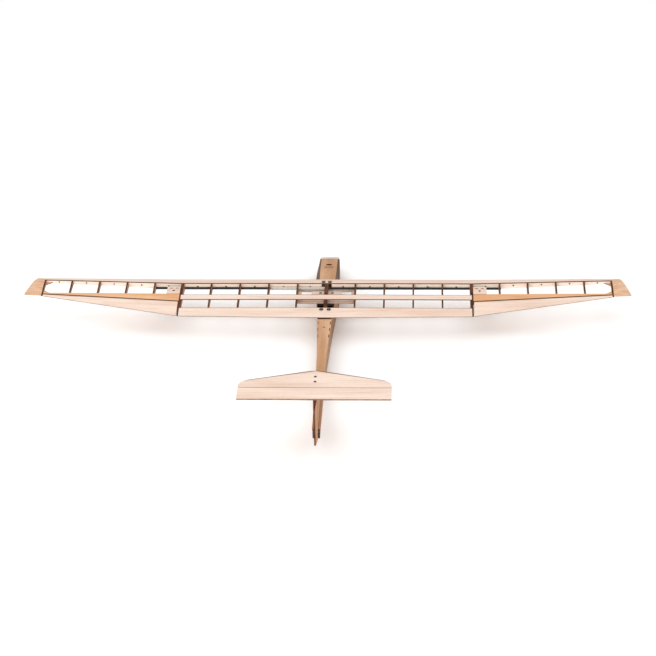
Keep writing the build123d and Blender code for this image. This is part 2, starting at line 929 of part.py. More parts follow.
def former(back):
    half = former_thickness / 2
    width = min(half_width(back - half), half_width(back + half)) - wall - glue_gap
    low = max(belly(back - half), belly(back + half)) + bottom_sheet + glue_gap
    high = min(side_top(back - half), side_top(back + half))
    if 0 <= back <= root_chord:
        high = -seat_plate - glue_gap * 2
    elif back > root_chord:
        high -= 0.0
    plate = block(-width, width, at(back - half), at(back + half), z_wing + low, z_wing + high)
    rim = 3.0 if width < 14 else 7.0
    inner = width - rim
    opening = block(-inner, inner, at(back) - 9, at(back) + 9, z_wing + low + rim, z_wing + high - rim)
    if back < -100:
        opening = block(-9, 9, at(back) - 9, at(back) + 9, z_wing - 38, z_wing - 30)
    plate -= opening
    if back > 20:
        plate -= rod_channel(back)
    return plate


def nose_block():
    """Solid balsa nose with rounded corners, carried down from the hatch line."""
    start = -nose_reach
    end = bow
    radius = 12.0
    width = half_width(start)
    corner = []
    for i in range(5):
        angle = radians(90 * i / 4)
        corner.append((width - radius + radius * sin(angle), start + radius - radius * cos(angle)))
    right = corner + [(half_width(end), end)]
    plan = plan_slab(right + [(-x, b) for x, b in reversed(right)])
    top = hatch_top(start)
    low = belly(start)
    side = [(end, belly(end)), (start + 8, low + 1.5), (start + 3, low + 5), (start, low + 10)]
    side += [(start, top - 7), (start + 2, top - 3), (start + 6, top - 0.5), (end, hatch_top(end))]
    body = side_slab(side) & plan
    points = []
    for sign in (1, -1):
        chain = [(30.0, -70.0), (30.0, hatch_top(end) - shoulder), (hatch_half_front + 1.5, hatch_top(end) - 1.5)]
        chain += [(hatch_half_front, hatch_top(end))]
        points += [(sign * x, h) for x, h in (chain if sign > 0 else reversed(chain))]
    face = Face(Wire.make_polygon([Vector(x, at(end) - 1, z_wing + h) for x, h in points], close=True))
    body = body & extrude(face, amount=nose_block_length + 5, dir=(0, 1, 0))
    z = z_wing + mix(low, top, 0.45)
    pocket = rod((0, at(end) - 1, z), (0, at(end - ballast_length) + 0.2, z), ballast_radius + 0.2)
    return body - pocket


ballast_length = 18.0
ballast_radius = 9.5
ballast_bar = (36.0, 58.0, 4.0)


def nose_ballast():
    z = z_wing + mix(belly(-nose_reach), hatch_top(-nose_reach), 0.45)
    slug = rod((0, at(bow) + 0.2, z), (0, at(bow - ballast_length), z), ballast_radius)
    return [slug, on_floor(bow + 9.0, *ballast_bar, 0.5)]


def on_floor(front, width, length, height, gap):
    """Block that lies along the sloping floor, its front end at the given distance."""
    tilt = degrees(atan2(belly(front) - belly(front + length), length))
    body = block(-width / 2, width / 2, -length, 0, 0, height)
    return Pos(0, at(front), z_wing + belly(front) + bottom_sheet + gap) * Rot(tilt, 0, 0) * body


def hatch_half(back):
    return mix(hatch_half_front, hatch_half_rear, (back - bow) / (-bow))


def hatch_lid():
    start = bow + hatch_gap
    end = -hatch_end
    radius = 8.0
    wide = hatch_half(start + radius)
    corner = []
    for i in range(5):
        angle = radians(90 * i / 4)
        corner.append((wide - radius + radius * sin(angle), start + radius - radius * cos(angle)))
    right = corner + [(hatch_half(end), end)]
    plan = plan_slab(right + [(-x, b) for x, b in reversed(right)])
    band = [(start, hatch_top(start)), (end, hatch_top(end))]
    band += [(end, hatch_top(end) - hatch_sheet), (start, hatch_top(start) - hatch_sheet)]
    lid = side_slab(band) & plan
    grip_at = bow * 0.72
    grip = Pos(0, at(grip_at), 0) * extrude(Ellipse(8.0, 4.5), z_wing * 3)
    return lid - grip


def hatch_rail():
    """Shoulder under the hatch edge: it carries the lid and rounds off to the body side."""
    start = bow + hatch_gap
    end = -hatch_end

    def face(back):
        wide = half_width(back)
        edge = hatch_half(back) + glue_gap
        top = hatch_top(back)
        low = side_top(min(back, -hatch_end - 0.01)) + 0.15
        under = top - hatch_sheet - glue_gap
        chain = [
            (wide, low),
            (wide, low + 2.0),
            (mix(edge, wide, 0.75), mix(low + 2.0, top, 0.62)),
            (mix(edge, wide, 0.35), mix(low + 2.0, top, 0.92)),
            (edge, top),
            (edge, under),
            (edge - 6.0, under),
            (wide - 7.0, low),
        ]
        return Face(Wire.make_polygon([Vector(x, at(back), z_wing + h) for x, h in chain], close=True))
    marks = [b for b in (start, -110.0, -60.0, end)]
    return loft([face(b) for b in marks], ruled=True)


def hatch_battens():
    """Cross battens under the lid, each with two magnets that meet those on the formers."""
    found = []
    for back in (bow + 9.0, -14.0):
        half = hatch_half(back) - 7.0
        slope = (hatch_top(0.0) - hatch_top(bow)) / -bow
        top = hatch_top(back - 3.0) - hatch_sheet - glue_gap
        low = top - batten_height - 6.0 * slope
        batten = block(-half, half, at(back - 3), at(back + 3), z_wing + low, z_wing + top)
        found.append(batten)
        for x in (-half + 5.0, half - 5.0):
            found.append(rod((x, at(back), z_wing + low - 2.0), (x, at(back), z_wing + low - 0.02), 2.5))
    return found


def catch_blocks():
    """Blocks between the sides with the fixed halves of the magnet pairs let into their tops."""
    found = []
    for back in (bow + 9.0, -14.0):
        slope = (hatch_top(0.0) - hatch_top(bow)) / -bow
        top = hatch_top(back - 3.0) - hatch_sheet - glue_gap - batten_height - 6.0 * slope - 2.4
        width = min(half_width(back - 3), half_width(back + 3)) - wall - glue_gap
        bar = block(-width, width, at(back - 3), at(back + 3), z_wing + top - 4.5, z_wing + top)
        half = hatch_half(back) - 7.0
        for x in (-half + 5.0, half - 5.0):
            disc = rod((x, at(back), z_wing + top - 2.0), (x, at(back), z_wing + top), 2.5)
            bar -= rod((x, at(back), z_wing + top - 2.05), (x, at(back), z_wing + top + 1), 2.55)
            found.append(disc)
        found.append(bar)
    return found


def seat_plates():
    found = []
    for b0, b1, bolts in ((8.0, 46.0, front_bolts), (root_chord - 38.0, root_chord - 8.0, rear_bolts)):
        w0 = half_width(b0) - wall - glue_gap
        w1 = half_width(b1) - wall - glue_gap
        plan = plan_slab([(w0, b0), (w1, b1), (-w1, b1), (-w0, b0)])
        band = [(b0, -glue_gap), (b1, -glue_gap), (b1, -seat_plate - glue_gap), (b0, -seat_plate - glue_gap)]
        plate = side_slab(band) & plan
        plate -= bolt_holes(bolts)
        plate -= port(bolt_holes(bolts))
        found.append(plate)
    return found


def rudder_linkage():
    level = rudder_rod_height() - rod_level()
    shaft = Plane(Vector(0, at(34.0), level), x_dir=(0, -1, 0), z_dir=(0, 0, 1))
    post = Plane(Vector(0, at(stern_reach), level), x_dir=(0, -1, 0), z_dir=(0, 0, 1))
    return shaft, post


def servo_tray():
    shaft, _ = rudder_linkage()
    top = shaft.origin.Z - 10.5 - glue_gap
    b0 = 34.0 - servo_width / 2 - 9.0
    b1 = 34.0 + servo_length - servo_width / 2 + 9.0
    w0 = half_width(b0) - wall - glue_gap
    w1 = half_width(b1) - wall - glue_gap
    plan = plan_slab([(w0, b0), (w1, b1), (-w1, b1), (-w0, b0)])
    slab = block(-60, 60, at(b0), at(b1), top - 2.5, top)
    front = at(34.0) + servo_width / 2 + 0.3
    back = at(34.0) - servo_length + servo_width / 2 - 0.3
    return (slab & plan) - block(-servo_width / 2 - 0.3, servo_width / 2 + 0.3, front, back, top - 9, top + 9)


def battery():
    """Pack that lies on the ballast bar, between the bow and the second former."""
    gap = 0.5 + ballast_bar[2] + 0.4
    pack = on_floor(bow + 9.0, battery_width, battery_length, battery_height, gap)
    return fillet(pack.edges().group_by(SortBy.LENGTH)[-1], 3.0)


def receiver():
    low = z_wing + belly(-50.0) + bottom_sheet + 1.0
    return fillet(block(-12, 12, at(-52), at(-12), low, low + 11).edges().filter_by(Axis.Z), 1.5)


# ---------------------------------------------------------------- tail

stab_hinge = stab_apex + stab_root_chord - elevator_chord
mount_thickness = 2.5
mount_half_width = 9.0
stab_under = z_stab - stab_thickness / 2
fin_top = stab_under - mount_thickness - glue_gap * 2
screw_places = (610.0, 631.0)
fin_servo_at = 597.0


def fin_servo_plane():
    level = fin_top - 8.0
    return Plane(Vector(0, at(fin_servo_at), level), x_dir=(0, -1, 0), z_dir=(0, 0, 1))


def fin_window():
    """Opening through the fin for the servo and the swing of its arm."""
    half = fin_servo_width / 2 + 0.3
    front = at(fin_servo_at) + half
    back = at(fin_servo_at) - fin_servo_length + fin_servo_width / 2 - 0.3
    level = fin_servo_plane().origin.Z
    case = block(-9, 9, front, back, level - fin_servo_height - 0.3, level)
    lugs = block(-9, 9, front + 4.5, back - 4.5, level - 10.7, level - 8.1)
    arm = block(-9, 9, front + 1.0, front - 2 * half - 4.0, level - 0.1, level + 4.6)
    return case + lugs + arm


def fin_outline(low, inset=0.0):
    back = fin_back
    top_front = back - fin_top_chord
    return [
        (fin_front + inset, low),
        (back, low),
        (back, fin_top - z_wing),
        (top_front, fin_top - z_wing),
    ]


def rudder_hinge_planes():
    heights = (-28.0, 18.0, rudder_top - 14.0)
    return [Plane(Vector(0, at(stern_reach), z_wing + h), x_dir=(0, -1, 0), z_dir=(0, 0, 1)) for h in heights]


fin_middle = fin_back - 57.0


def fin_bay(front, lean, back):
    """Outline of a lightening bay in the fin core, closed later by the skins."""
    low = deck(fin_front) + 12.0
    high = fin_servo_plane().origin.Z - z_wing - fin_servo_height - 10.0
    slope = (fin_root_chord - fin_top_chord) / (fin_top - z_wing - deck(fin_front))
    shift = (high - low) * slope if lean else 0.0
    return [(front + lean * 0.5, low), (back, low), (back, high), (min(front + shift, back - 6.0), high)]


def fin_frame():
    low = deck(fin_front)
    half = fin_core / 2
    above = side_slab(fin_outline(low)) & block(-half, half, at(0), at(900), 0, z_stab)
    foot_low = belly(stern_reach - 60) + bottom_sheet + 1.2
    foot = [(fin_foot, low + 1), (fin_foot, foot_low), (fin_back, foot_low + 0.6), (fin_back, low + 1)]
    below = side_slab(foot) & block(-half, half, at(0), at(900), 0, z_stab)
    shape = above + below - fin_window()
    shape -= side_slab(fin_bay(fin_front + 21.0, 14.0, fin_middle - 4.0))
    shape -= side_slab(fin_bay(fin_middle + 4.0, 0.0, fin_back - 15.0))
    for plane in rudder_hinge_planes():
        shape -= leaf_slot(plane, -1)
    for place in screw_places:
        shape -= rod((0, at(place), fin_top - 9), (0, at(place), fin_top + 1), 1.5)
    return shape


def fin_skins():
    front = deck(fin_front) + glue_gap
    back = deck(stern_reach) + glue_gap
    start = fin_front + 4.0
    points = [(start, front + 0.2), (fin_back, front + 0.2)]
    points += [(fin_back, fin_top - z_wing), (fin_back - fin_top_chord + 4.0, fin_top - z_wing)]
    slab = side_slab(points) - fin_window()
    low = fin_core / 2 + glue_gap
    found = []
    for side in (1, -1):
        skin = slab & block(side * low, side * (low + fin_skin), at(0), at(900), 0, z_stab)
        for place in screw_places:
            skin -= rod((0, at(place), fin_top - 9), (0, at(place), fin_top + 1), 1.5)
        found.append(skin)
    return found


def stab_corner(x, back, radius, forward):
    """Rounded tip corner as a chain of points."""
    chain = []
    for i in range(6):
        angle = radians(90 * i / 5)
        chain.append((x - radius + radius * sin(angle), back + forward * (radius - radius * cos(angle))))
    return chain


def stab_plate(points):
    face = Face(Wire.make_polygon([Vector(x, at(b), stab_under) for x, b in points], close=True))
    return extrude(face, amount=stab_thickness, dir=(0, 0, 1))


def elevator_axis_point(x):
    return Vector(x, at(stab_hinge), z_stab)


def elevator_hinge_planes():
    reach = stab_span / 2 - 40.0
    points = [elevator_axis_point(x) for x in (-reach, -reach / 3, reach / 3, reach)]
    return [Plane(point, x_dir=(0, -1, 0), z_dir=(1, 0, 0)) for point in points]


def stabilizer():
    half = stab_span / 2
    back = stab_hinge - hinge_gap
    tip_front = stab_apex + stab_sweep
    right = [(0.0, stab_apex), (14.0, stab_apex + 1.5)]
    slope = stab_sweep / half
    right += [(half - 20.0, stab_apex + slope * (half - 20.0))]
    right += [(half - 12.0, tip_front - 0.6), (half - 6.5, tip_front + 3.2), (half - 2.6, tip_front + 8.6)]
    right += [(half - 0.6, tip_front + 14.5), (half, tip_front + 20.0), (half, back)]
    left = [(-x, b) for x, b in reversed(right[1:])]
    shape = stab_plate(right + left)
    for plane in elevator_hinge_planes():
        shape -= leaf_slot(plane, -1)
    for place in screw_places:
        shape -= rod((0, at(place), stab_under - 1), (0, at(place), z_stab + 9), 1.6)
    return shape


def elevator():
    half = stab_span / 2
    front = stab_hinge + hinge_gap
    back = stab_hinge + elevator_chord
    corner = [(x, b) for x, b in reversed(stab_corner(half, back, elevator_corner, -1))]
    right = [(half, front)] + corner
    left = [(-x, b) for x, b in reversed(right)]
    shape = stab_plate(right + left)
    for plane in elevator_hinge_planes():
        shape -= leaf_slot(plane, 1)
    return shape


def stabilizer_mount():
    low = fin_top + glue_gap
    front = at(fin_back - fin_top_chord + 3.0)
    plate = block(-mount_half_width, mount_half_width, front, at(fin_back - 2.0), low, low + mount_thickness)
    for place in screw_places:
        plate -= rod((0, at(place), low - 1), (0, at(place), low + 9), 1.5)
    return plate


def stabilizer_screws():
    found = []
    for place in screw_places:
        top = z_stab + stab_thickness / 2
        y = at(place)
        washer = rod((0, y, top + 0.02), (0, y, top + 0.6), 3.4)
        head = rod((0, y, top + 0.5), (0, y, top + 2.0), 2.5)
        shank = rod((0, y, fin_top - 7), (0, y, top + 0.6), 1.42)
        cross = block(-1.6, 1.6, y - 0.35, y + 0.35, top + 1.3, top + 5)
        found.append(washer + head + shank - cross)
    return found


elevator_rod_side = 10.5


def elevator_linkage():
    shaft = fin_servo_plane()
    return shaft, Plane(Vector(0, at(stab_hinge), z_stab), x_dir=(0, -1, 0), z_dir=(1, 0, 0))


def elevator_hardware():
    _, on_hinge = elevator_linkage()
    drop = elevator_arm
    plate = horn(on_hinge, drop, 2.2, 13.0, stab_thickness / 2 + 0.2, elevator_hole_gap)
    plate = Pos(elevator_rod_side - arm_level - arm_thickness - 1.0, 0, 0) * plate
    return [moving_leaf(plane) for plane in elevator_hinge_planes()] + [plate]


elevator_hole_gap = 0.9


def elevator_pushrod():
    shaft, on_hinge = elevator_linkage()
    start = shaft.origin + Vector(elevator_arm, 0, rod_level())
    end = on_hinge.origin + Vector(elevator_rod_side, 0, -elevator_arm)
    return pushrod(start, end, Vector(0, 0, -1), Vector(-1, 0, 0))


def rudder():
    front = stern_reach + hinge_gap
    back = stern_reach + rudder_chord
    side = [
        (front, rudder_top),
        (back - 3.0, rudder_top),
        (back, rudder_top - 3.0),
        (back, -rudder_foot + rudder_foot_rise),
        (front, -rudder_foot),
    ]
    plan = extrude(wedge_plan(rudder_thickness / 2, rudder_edge_half, at(front), at(back)), amount=z_stab * 2, dir=(0, 0, 1))
    shape = side_slab(side) & plan
    for plane in rudder_hinge_planes():
        shape -= leaf_slot(plane, 1)
    shaft, post = rudder_linkage()
    low = post.origin.Z + arm_level
    return shape - block(-9, 9, at(front) + 1, at(front + 8.0), low - slot_gap, low + arm_thickness + slot_gap)


def rudder_horn():
    """Two-sided ply horn let into the rudder, with a hole each side of the hinge line."""
    _, post = rudder_linkage()
    wide = rudder_arm + 1.9
    half = fin_core / 2
    outline = [(wide, -1.6), (wide, 1.8), (wide - 3.0, 7.4 + hinge_gap), (3.0 - wide, 7.4 + hinge_gap)]
    outline += [(-wide, 1.8), (-wide, -1.6), (-half - 1.6, -1.6), (-half - 0.5, 1.2), (half + 0.5, 1.2), (half + 1.6, -1.6)]
    points = [Vector(x, at(stern_reach + b), post.origin.Z + arm_level) for x, b in outline]
    plate = extrude(Face(Wire.make_polygon(points, close=True)), amount=arm_thickness, dir=(0, 0, 1))
    for x in (rudder_arm, -rudder_arm):
        axis = (x, at(stern_reach))
        plate -= rod((*axis, post.origin.Z - 3), (*axis, post.origin.Z + 9), rod_diameter / 2 + running_gap)
    return plate


def rudder_hardware():
    return [moving_leaf(plane) for plane in rudder_hinge_planes()] + [rudder_horn()]


def rudder_pushrod():
    shaft, post = rudder_linkage()
    offset = Vector(rudder_arm, 0, rod_level())
    down = Vector(0, 0, -1)
    return pushrod(shaft.origin + offset, post.origin + offset, down, down)


def rod_guides():
    """Plastic sleeves that hold the rudder rod where it passes the two middle formers."""
    found = []
    for back in former_places[4:6]:
        height = rudder_rod_height()
        start = (rudder_arm, at(back) + 5, height)
        end = (rudder_arm, at(back) - 5, height)
        found.append(pipe(start, end, rod_diameter / 2 + 1.55, rod_diameter / 2 + 1.0))
    return found


def wing_servo():
    _, shaft = aileron_linkage()
    return servo(shaft, servo_length, servo_width, servo_height)


def fixed_hinges():
    leaves = [fixed_leaf(plane) for plane in aileron_hinge_planes()]
    leaves += [port(leaf) for leaf in leaves]
    leaves += [fixed_leaf(plane) for plane in elevator_hinge_planes()]
    return leaves + [fixed_leaf(plane) for plane in rudder_hinge_planes()]


def mirrored(shapes):
    return [port(shape) for shape in shapes]


def build():
    os.makedirs("parts", exist_ok=True)
    pieces = {}

    edges = leading_edges()
    pieces["leading_edges"] = edges + mirrored(edges)
    sheets = front_sheeting()
    pieces["front_sheeting"] = sheets + mirrored(sheets)
    webs = spar_webs()
    pieces["spar_webs"] = webs + mirrored(webs)
    strip = mid_strip()
    pieces["mid_strips"] = [strip, port(strip)]
    stock = trailing_edge()
    pieces["trailing_edges"] = [stock, port(stock)]
    bar = false_edge_cut()
    pieces["aileron_spars"] = [bar, port(bar)]
    root = root_rib()
    pieces["root_ribs"] = [root, port(root)]
    pieces["inner_ribs_right"] = inner_ribs(1)
    pieces["inner_ribs_left"] = mirrored(inner_ribs(-1))
    ribs = outer_ribs()
    pieces["outer_ribs_right"] = ribs
    pieces["outer_ribs_left"] = mirrored(ribs)
    tip = tip_block()
    pieces["wing_tips"] = [tip, port(tip)]
    braces = tip_gussets()
    pieces["tip_gussets"] = braces + mirrored(braces)
    plate = root_plates()
    tray = aileron_tray()
    pieces["wing_plates"] = [plate, port(plate), tray, port(tray)]
    pads = bolt_pads()
    pieces["bolt_pads"] = pads + mirrored(pads)
    bolts = wing_bolts()
    pieces["wing_bolts"] = bolts + mirrored(bolts)
    nuts = wing_bolt_nuts()
    pieces["wing_bolt_nuts"] = nuts + mirrored(nuts)
    left_tube, joining_tube = spar_tubes()
    pieces["spar_tubes"] = [left_tube, joining_tube]
    pieces["joiner_sleeve"] = [joiner_sleeve()]
    case = wing_servo()
    pieces["aileron_servos"] = [case, port(case)]
    pieces["hinge_leaves_fixed"] = fixed_hinges()

    side = fuselage_side()
    pieces["fuselage_side_right"] = [side]
    pieces["fuselage_side_left"] = [port(side)]
    pieces["fuselage_bottom"] = [fuselage_bottom()]
    pieces["fuselage_deck"] = [fuselage_deck()]
    pieces["formers"] = [former(place) for place in former_places]
    pieces["nose_block"] = [nose_block()]
    pieces["nose_ballast"] = nose_ballast()
    pieces["wing_seat_plates"] = seat_plates()
    pieces["hatch_catches"] = catch_blocks()
    pieces["rudder_servo_tray"] = [servo_tray()]
    shaft, _ = rudder_linkage()
    pieces["rudder_servo"] = [servo(shaft, servo_length, servo_width, servo_height)]
    pieces["rudder_rod_guides"] = rod_guides()
    pieces["battery"] = [battery()]
    pieces["receiver"] = [receiver()]
    pieces["hatch_lid"] = [hatch_lid()]
    rail = hatch_rail()
    pieces["hatch_rails"] = [rail, port(rail)]
    pieces["hatch_battens"] = hatch_battens()

    pieces["fin_frame"] = [fin_frame()]
    pieces["fin_skins"] = fin_skins()
    pieces["fin_servo"] = [servo(fin_servo_plane(), fin_servo_length, fin_servo_width, fin_servo_height)]
    pieces["stabilizer_mount"] = [stabilizer_mount()]
    pieces["stabilizer_screws"] = stabilizer_screws()
    pieces["stabilizer"] = [stabilizer()]

    surface = aileron()
    fittings = aileron_hardware()
    _, wing_shaft = aileron_linkage()
    arm = servo_arm(wing_shaft, aileron_arm, 90, running_gap)
    wire = aileron_pushrod()
    for name, side in (("right", lambda shape: shape), ("left", port)):
        pieces["aileron_" + name] = [side(surface)]
        pieces["aileron_fittings_" + name] = [side(piece) for piece in fittings]
        pieces["aileron_servo_arm_" + name] = [side(arm)]
        pieces["aileron_pushrod_" + name] = [side(wire)]
    pieces["elevator"] = [elevator()]
    pieces["elevator_fittings"] = elevator_hardware()
    pieces["elevator_servo_arm"] = [servo_arm(fin_servo_plane(), elevator_arm, 90, elevator_hole_gap)]
    pieces["elevator_pushrod"] = [elevator_pushrod()]
    pieces["rudder"] = [rudder()]
    pieces["rudder_fittings"] = rudder_hardware()
    pieces["rudder_servo_arm"] = [servo_arm(shaft, rudder_arm, 90, running_gap)]
    pieces["rudder_pushrod"] = [rudder_pushrod()]

    for node, shapes in pieces.items():
        save(node, *shapes)
    print(len(pieces), "nodes written")


build()
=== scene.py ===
import bpy
import bmesh
from math import pi, cos, sin
from mathutils import Vector, Matrix


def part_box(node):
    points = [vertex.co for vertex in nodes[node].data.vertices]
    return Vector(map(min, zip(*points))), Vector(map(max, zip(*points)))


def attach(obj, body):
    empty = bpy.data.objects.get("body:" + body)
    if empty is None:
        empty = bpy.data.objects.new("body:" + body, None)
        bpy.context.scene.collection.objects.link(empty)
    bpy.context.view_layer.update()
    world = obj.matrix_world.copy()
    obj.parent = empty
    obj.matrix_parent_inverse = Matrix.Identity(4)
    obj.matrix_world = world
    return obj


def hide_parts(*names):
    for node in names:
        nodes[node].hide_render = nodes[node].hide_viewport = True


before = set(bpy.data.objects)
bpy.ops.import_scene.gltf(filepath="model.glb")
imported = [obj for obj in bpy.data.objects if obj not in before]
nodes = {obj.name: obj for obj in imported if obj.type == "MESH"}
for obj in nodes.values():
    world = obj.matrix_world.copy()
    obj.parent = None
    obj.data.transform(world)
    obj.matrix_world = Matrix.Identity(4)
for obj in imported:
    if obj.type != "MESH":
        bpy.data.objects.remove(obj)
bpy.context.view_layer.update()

print("glider frame loaded:", len(nodes), "nodes")


# small helpers for node trees

def tone(hexCode):
    # a colour as it looks on screen, turned linear for the shader
    parts = [int(hexCode[i:i + 2], 16) / 255 for i in (1, 3, 5)]
    return [((p + 0.055) / 1.055) ** 2.4 if p > 0.04045 else p / 12.92 for p in parts] + [1.0]


def newMaterial(name, roughness, gloss=0.5, metal=0.0):
    material = bpy.data.materials.new(name)
    material.use_nodes = True
    tree = material.node_tree
    tree.nodes.clear()
    output = tree.nodes.new("ShaderNodeOutputMaterial")
    shader = tree.nodes.new("ShaderNodeBsdfPrincipled")
    shader.inputs["Roughness"].default_value = roughness
    shader.inputs["Specular IOR Level"].default_value = gloss
    shader.inputs["Metallic"].default_value = metal
    tree.links.new(shader.outputs["BSDF"], output.inputs["Surface"])
    return material, tree, shader


def objectPoint(tree, stretch=(1, 1, 1), turn=(0, 0, 0), shift=(0, 0, 0)):
    coords = tree.nodes.new("ShaderNodeTexCoord")
    mapping = tree.nodes.new("ShaderNodeMapping")
    mapping.inputs["Scale"].default_value = stretch
    mapping.inputs["Rotation"].default_value = turn
    mapping.inputs["Location"].default_value = shift
    tree.links.new(coords.outputs["Object"], mapping.inputs["Vector"])
    return mapping.outputs["Vector"]


def noise(tree, point, detail=3.0, rough=0.55, bend=0.0):
    texture = tree.nodes.new("ShaderNodeTexNoise")
    texture.inputs["Scale"].default_value = 1.0
    texture.inputs["Detail"].default_value = detail
    texture.inputs["Roughness"].default_value = rough
    texture.inputs["Distortion"].default_value = bend
    tree.links.new(point, texture.inputs["Vector"])
    return texture.outputs["Fac"]


def ramp(tree, value, *stops):
    # stops are (place, colour or grey) pairs
    node = tree.nodes.new("ShaderNodeValToRGB")
    elements = node.color_ramp.elements
    while len(elements) < len(stops):
        elements.new(0.5)
    for element, (place, colour) in zip(elements, stops):
        element.position = place
        element.color = colour if isinstance(colour, list) else [colour, colour, colour, 1.0]
    tree.links.new(value, node.inputs["Fac"])
    return node.outputs["Color"]


def feed(tree, shader, socket, value, *stops):
    tree.links.new(ramp(tree, value, *stops), shader.inputs[socket])


def blendColours(tree, amount, first, second, mode="MIX"):
    node = tree.nodes.new("ShaderNodeMix")
    node.data_type = "RGBA"
    node.blend_type = mode
    for socket, value in ((node.inputs[0], amount), (node.inputs[6], first), (node.inputs[7], second)):
        if isinstance(value, (int, float, list)):
            socket.default_value = value
        else:
            tree.links.new(value, socket)
    return node.outputs[2]


def sums(tree, operation, first, second=0.0, third=None):
    node = tree.nodes.new("ShaderNodeMath")
    node.operation = operation
    for socket, value in zip(node.inputs, (first, second) if third is None else (first, second, third)):
        if isinstance(value, (int, float)):
            socket.default_value = value
        else:
            tree.links.new(value, socket)
    return node.outputs[0]


def bump(tree, shader, height, strength, distance):
    node = tree.nodes.new("ShaderNodeBump")
    node.inputs["Strength"].default_value = strength
    node.inputs["Distance"].default_value = distance
    tree.links.new(height, node.inputs["Height"])
    tree.links.new(node.outputs["Normal"], shader.inputs["Normal"])


def edgeMask(tree, flat, start=0.5, end=0.8):
    # 1 on the laser-cut edges of a sheet whose faces look along flat
    coords = tree.nodes.new("ShaderNodeTexCoord")
    split = tree.nodes.new("ShaderNodeSeparateXYZ")
    tree.links.new(coords.outputs["Normal"], split.inputs["Vector"])
    size = sums(tree, "ABSOLUTE", split.outputs["XYZ".index(flat)])
    return ramp(tree, size, (start, 1.0), (end, 0.0))


# wood

balsaLook = {
    "pale": "#e6d1c2", "warm": "#dabfae", "streak": "#b38c73", "fleck": "#8e644c",
    "burnt": "#4a2f20", "soot": "#8a6046",
}
plyLook = {
    "pale": "#cda482", "warm": "#b68862", "streak": "#926345", "fleck": "#6d452d",
    "burnt": "#2c1a11", "soot": "#5a3a26",
}
limeLook = {
    "pale": "#dfb189", "warm": "#cd9668", "streak": "#a96f46", "fleck": "#82502f",
    "burnt": "#43220f", "soot": "#7c4a2a",
}
ribLook = {
    "pale": "#b88f70", "warm": "#8e6547", "streak": "#6a452e", "fleck": "#482b1b",
    "burnt": "#41200f", "soot": "#63381f",
}
# a paler copy of the balsa for the spar webs: painted light that brightens the webs standing in shade
brightenedWebLook = dict(balsaLook, pale="#fbeadb", warm="#f3dccb")
rudderLook = dict(plyLook, pale="#c99c76", warm="#b17c54", burnt="#4a2110", soot="#6f3a1f")
# a darker copy of the ply for the fuselage sides: painted shade for side walls that stand in shadow
shadeDarkenedSideLook = dict(plyLook, pale="#b58c69", warm="#98704e")
# dark grey-brown for the sloping hatch rails: partly burnt wood, partly painted shade on the steep shoulders
shoulderShadeAndBurnLook = {
    "pale": "#7a6352", "warm": "#5c483b", "streak": "#46352a", "fleck": "#33261d",
    "burnt": "#2c1a11", "soot": "#3a2a20",
}


def edgeLines(tree, places, width):
    # 1 on thin burnt lines that run along the span at the given distances
    coords = tree.nodes.new("ShaderNodeTexCoord")
    split = tree.nodes.new("ShaderNodeSeparateXYZ")
    tree.links.new(coords.outputs["Object"], split.inputs["Vector"])
    total = None
    for place in places:
        away = sums(tree, "ABSOLUTE", sums(tree, "SUBTRACT", split.outputs["Y"], place))
        line = ramp(tree, sums(tree, "DIVIDE", away, width * 2), (0.35, 1.0), (0.65, 0.0))
        total = line if total is None else sums(tree, "MAXIMUM", total, line)
    return total


gripLook = {"start": 0.052, "gap": 0.006, "count": 3, "width": 0.0016}  # short lines behind the slot


def hatchMarks(tree, front, back, halfFront, halfBack, width):
    # 1 along the tapering sides of the hatch, and on three short grip lines behind the slot
    coords = tree.nodes.new("ShaderNodeTexCoord")
    split = tree.nodes.new("ShaderNodeSeparateXYZ")
    tree.links.new(coords.outputs["Object"], split.inputs["Vector"])
    aside = sums(tree, "ABSOLUTE", split.outputs["X"])
    slope = (halfFront - halfBack) / (front - back)
    reach = sums(tree, "MULTIPLY_ADD", split.outputs["Y"], slope, halfBack - slope * back)
    border = sums(tree, "GREATER_THAN", sums(tree, "ADD", aside, width), reach)
    ahead = sums(tree, "GREATER_THAN", split.outputs["Y"], front - width)
    within = sums(tree, "LESS_THAN", aside, halfFront * 0.5)
    rows = [front - gripLook["start"] - gripLook["gap"] * i for i in range(gripLook["count"])]
    lines = edgeLines(tree, rows, gripLook["width"])
    grip = sums(tree, "MULTIPLY", sums(tree, "MULTIPLY", lines, within), 0.8)
    return sums(tree, "MAXIMUM", sums(tree, "MAXIMUM", border, ahead), grip)


def leadingRim(tree, apex, sweep, width):
    # 1 within a thin line along a swept front edge, apex being its place at the centreline
    coords = tree.nodes.new("ShaderNodeTexCoord")
    split = tree.nodes.new("ShaderNodeSeparateXYZ")
    tree.links.new(coords.outputs["Object"], split.inputs["Vector"])
    swept = sums(tree, "MULTIPLY", sums(tree, "ABSOLUTE", split.outputs["X"]), -sweep)
    behind = sums(tree, "SUBTRACT", sums(tree, "ADD", swept, apex), split.outputs["Y"])
    return ramp(tree, sums(tree, "DIVIDE", behind, width * 2), (0.35, 1.0), (0.65, 0.0))


